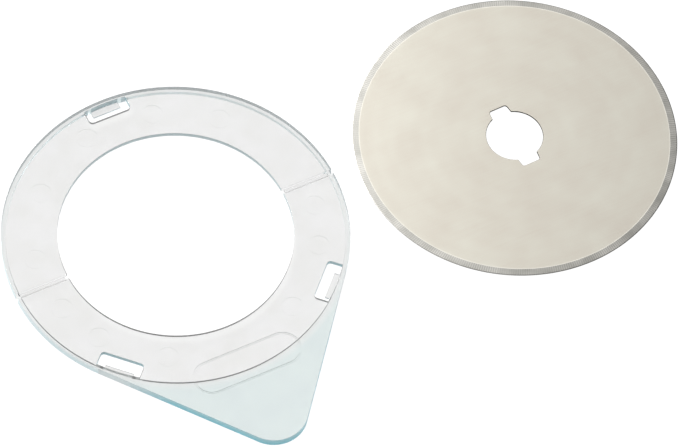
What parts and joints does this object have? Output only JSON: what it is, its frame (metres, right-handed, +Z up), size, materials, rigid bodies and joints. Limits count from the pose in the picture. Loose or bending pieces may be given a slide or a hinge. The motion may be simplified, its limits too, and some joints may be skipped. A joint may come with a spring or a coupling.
{
  "type": "rotary cutter blade with folding blade case",
  "caption": "Round double-bevel rotary cutter blade lying beside its flat clear teardrop case with snap lips, a pull tab and a film-hinge fold line.",
  "frame": {"origin": "centre of the blade's hole, on the table under the blade", "axes": "+Z up from the table, X along the fold line of the case with the case towards -X, and the case's pull tab pointing towards -Y"},
  "size_m": [0.1275, 0.0784, 0.0017],
  "materials": {
    "blade_steel": "satin ground steel with a bright ground bevel",
    "clear_plastic": "clear moulded plastic with a pale aqua tint"
  },
  "bodies": {
    "case_front": {"front_leaf": "clear_plastic", "left_hinge_film": "clear_plastic", "right_hinge_film": "clear_plastic"},
    "case_rear": {"rear_leaf": "clear_plastic"},
    "blade": {"blade": "blade_steel"}
  },
  "joints": [
    {"name": "case_fold", "type": "hinge", "parent": "case_front", "child": "case_rear", "pos_m": [-0.0659, 0.00635, 0.00093], "axis": [1, 0, 0], "range_deg": [0, 40], "deforming": ["left_hinge_film", "right_hinge_film"]},
    {"name": "blade_lift", "type": "slide", "parent": "case_front", "child": "blade", "axis": [0, 0, 1], "range_m": [0, 0.05]}
  ]
}
